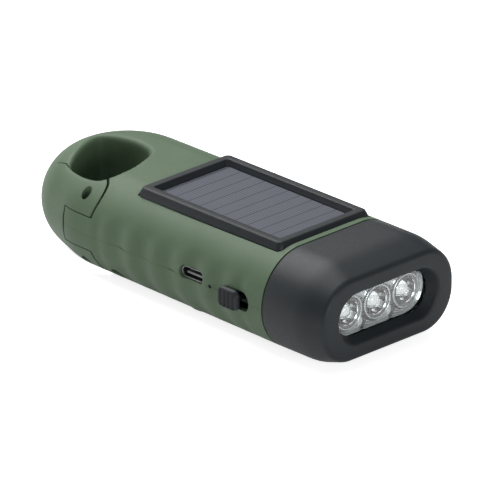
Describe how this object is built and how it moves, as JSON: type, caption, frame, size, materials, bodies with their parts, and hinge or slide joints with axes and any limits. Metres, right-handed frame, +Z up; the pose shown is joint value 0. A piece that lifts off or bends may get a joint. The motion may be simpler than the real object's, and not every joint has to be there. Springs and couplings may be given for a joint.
{
  "type": "hand crank flashlight",
  "caption": "Flat hand flashlight with a folding dynamo crank, a solar panel on top, a lamp window in a black head and a carabiner loop at the tail.",
  "frame": {"origin": "on the surface that the flashlight rests on, under the middle of its length and of its body, in the plane of the rest_face mount", "axes": "+X along the body towards the lens, +Z up from the crank side to the solar panel, -Y to the side with the switch and the charging socket"},
  "size_m": [0.1345, 0.0571, 0.032],
  "materials": {
    "shell_green": "fine matt army green moulding",
    "black_plastic": "satin black moulding",
    "solar_cells": "grey cells under clear resin",
    "clear_plastic": "clear acrylic",
    "mirror_chrome": "vacuum plated",
    "circuit_board": "green solder mask",
    "steel": "plain",
    "gear_nylon": "natural nylon",
    "copper_wire": "enamelled copper",
    "cell_sleeve": "light green sleeve",
    "foam": "soft grey foam"
  },
  "bodies": {
    "housing": {"upper_shell": "shell_green", "lower_shell": "shell_green", "gate_pin": "steel", "gate_spring": "steel", "solar_frame": "black_plastic", "solar_panel": "solar_cells", "head_bezel": "black_plastic", "lens": "clear_plastic", "reflector": "mirror_chrome", "lamp_1": "clear_plastic", "lamp_2": "clear_plastic", "lamp_3": "clear_plastic", "lamp_board": "circuit_board", "gear_shaft_a": "steel", "gear_shaft_b": "steel", "gear_plate": "gear_nylon", "plate_screw_1": "steel", "plate_screw_2": "steel", "plate_screw_3": "steel", "generator_can": "steel", "winding": "copper_wire", "battery": "cell_sleeve", "battery_spring": "steel", "battery_contact": "steel", "main_board": "circuit_board", "usb_port": "steel", "charge_light": "clear_plastic", "switch_body": "black_plastic", "case_screw_1": "steel", "case_screw_2": "steel", "case_screw_3": "steel", "case_screw_4": "steel"},
    "hub": {"crank_hub": "black_plastic", "crank_hinge_pin": "steel", "one_way_bearing": "steel", "hub_clip": "steel"},
    "arm": {"crank_arm": "black_plastic", "knob_axle": "steel"},
    "knob": {"crank_knob": "black_plastic"},
    "drive": {"drive_gear": "gear_nylon"},
    "compound_a": {"compound_gear_a": "gear_nylon"},
    "compound_b": {"compound_gear_b": "gear_nylon"},
    "rotor": {"rotor": "steel"},
    "gate": {"carabiner_gate": "shell_green"},
    "switch": {"switch_knob": "black_plastic"},
    "door": {"battery_door": "shell_green", "door_foam": "foam"}
  },
  "joints": [
    {"name": "crank_turn", "type": "hinge", "parent": "housing", "child": "hub", "pos_m": [0.0045, -0.009, 0], "axis": [0, 0, 1], "range_deg": [-1, 1]},
    {"name": "crank_fold", "type": "hinge", "parent": "hub", "child": "arm", "pos_m": [-0.0005, -0.009, 0.0015], "axis": [0, 1, 0], "range_deg": [0, 170]},
    {"name": "knob_spin", "type": "hinge", "parent": "arm", "child": "knob", "pos_m": [0.0312, -0.009, 0.006], "axis": [0, 0, 1], "continuous": true},
    {"name": "drive_spin", "type": "hinge", "parent": "housing", "child": "drive", "pos_m": [0.0045, -0.009, 0.0118], "axis": [0, 0, 1], "continuous": true},
    {"name": "compound_a_spin", "type": "hinge", "parent": "housing", "child": "compound_a", "pos_m": [-0.01098, -0.01173, 0.0118], "axis": [0, 0, 1], "continuous": true},
    {"name": "compound_b_spin", "type": "hinge", "parent": "housing", "child": "compound_b", "pos_m": [-0.01628, 0.00027, 0.0148], "axis": [0, 0, 1], "continuous": true},
    {"name": "rotor_spin", "type": "hinge", "parent": "housing", "child": "rotor", "pos_m": [-0.00621, -0.00554, 0.02], "axis": [0, 0, 1], "continuous": true},
    {"name": "gate_swing", "type": "hinge", "parent": "housing", "child": "gate", "pos_m": [-0.036, -0.0216, 0.0154], "axis": [0, 0, 1], "range_deg": [0, 35], "stiffness_Nm_per_rad": 0.02, "springref_deg": -20.05},
    {"name": "switch_slide", "type": "slide", "parent": "housing", "child": "switch", "axis": [1, 0, 0], "range_m": [0, 0.003]},
    {"name": "door_slide", "type": "slide", "parent": "housing", "child": "door", "axis": [0, 1, 0], "range_m": [0, 0.03]}
  ],
  "couplings": [
    {"joint": "compound_a_spin", "follows": "drive_spin", "ratio": -3.3333},
    {"joint": "compound_b_spin", "follows": "drive_spin", "ratio": 11.111},
    {"joint": "rotor_spin", "follows": "drive_spin", "ratio": -40}
  ]
}
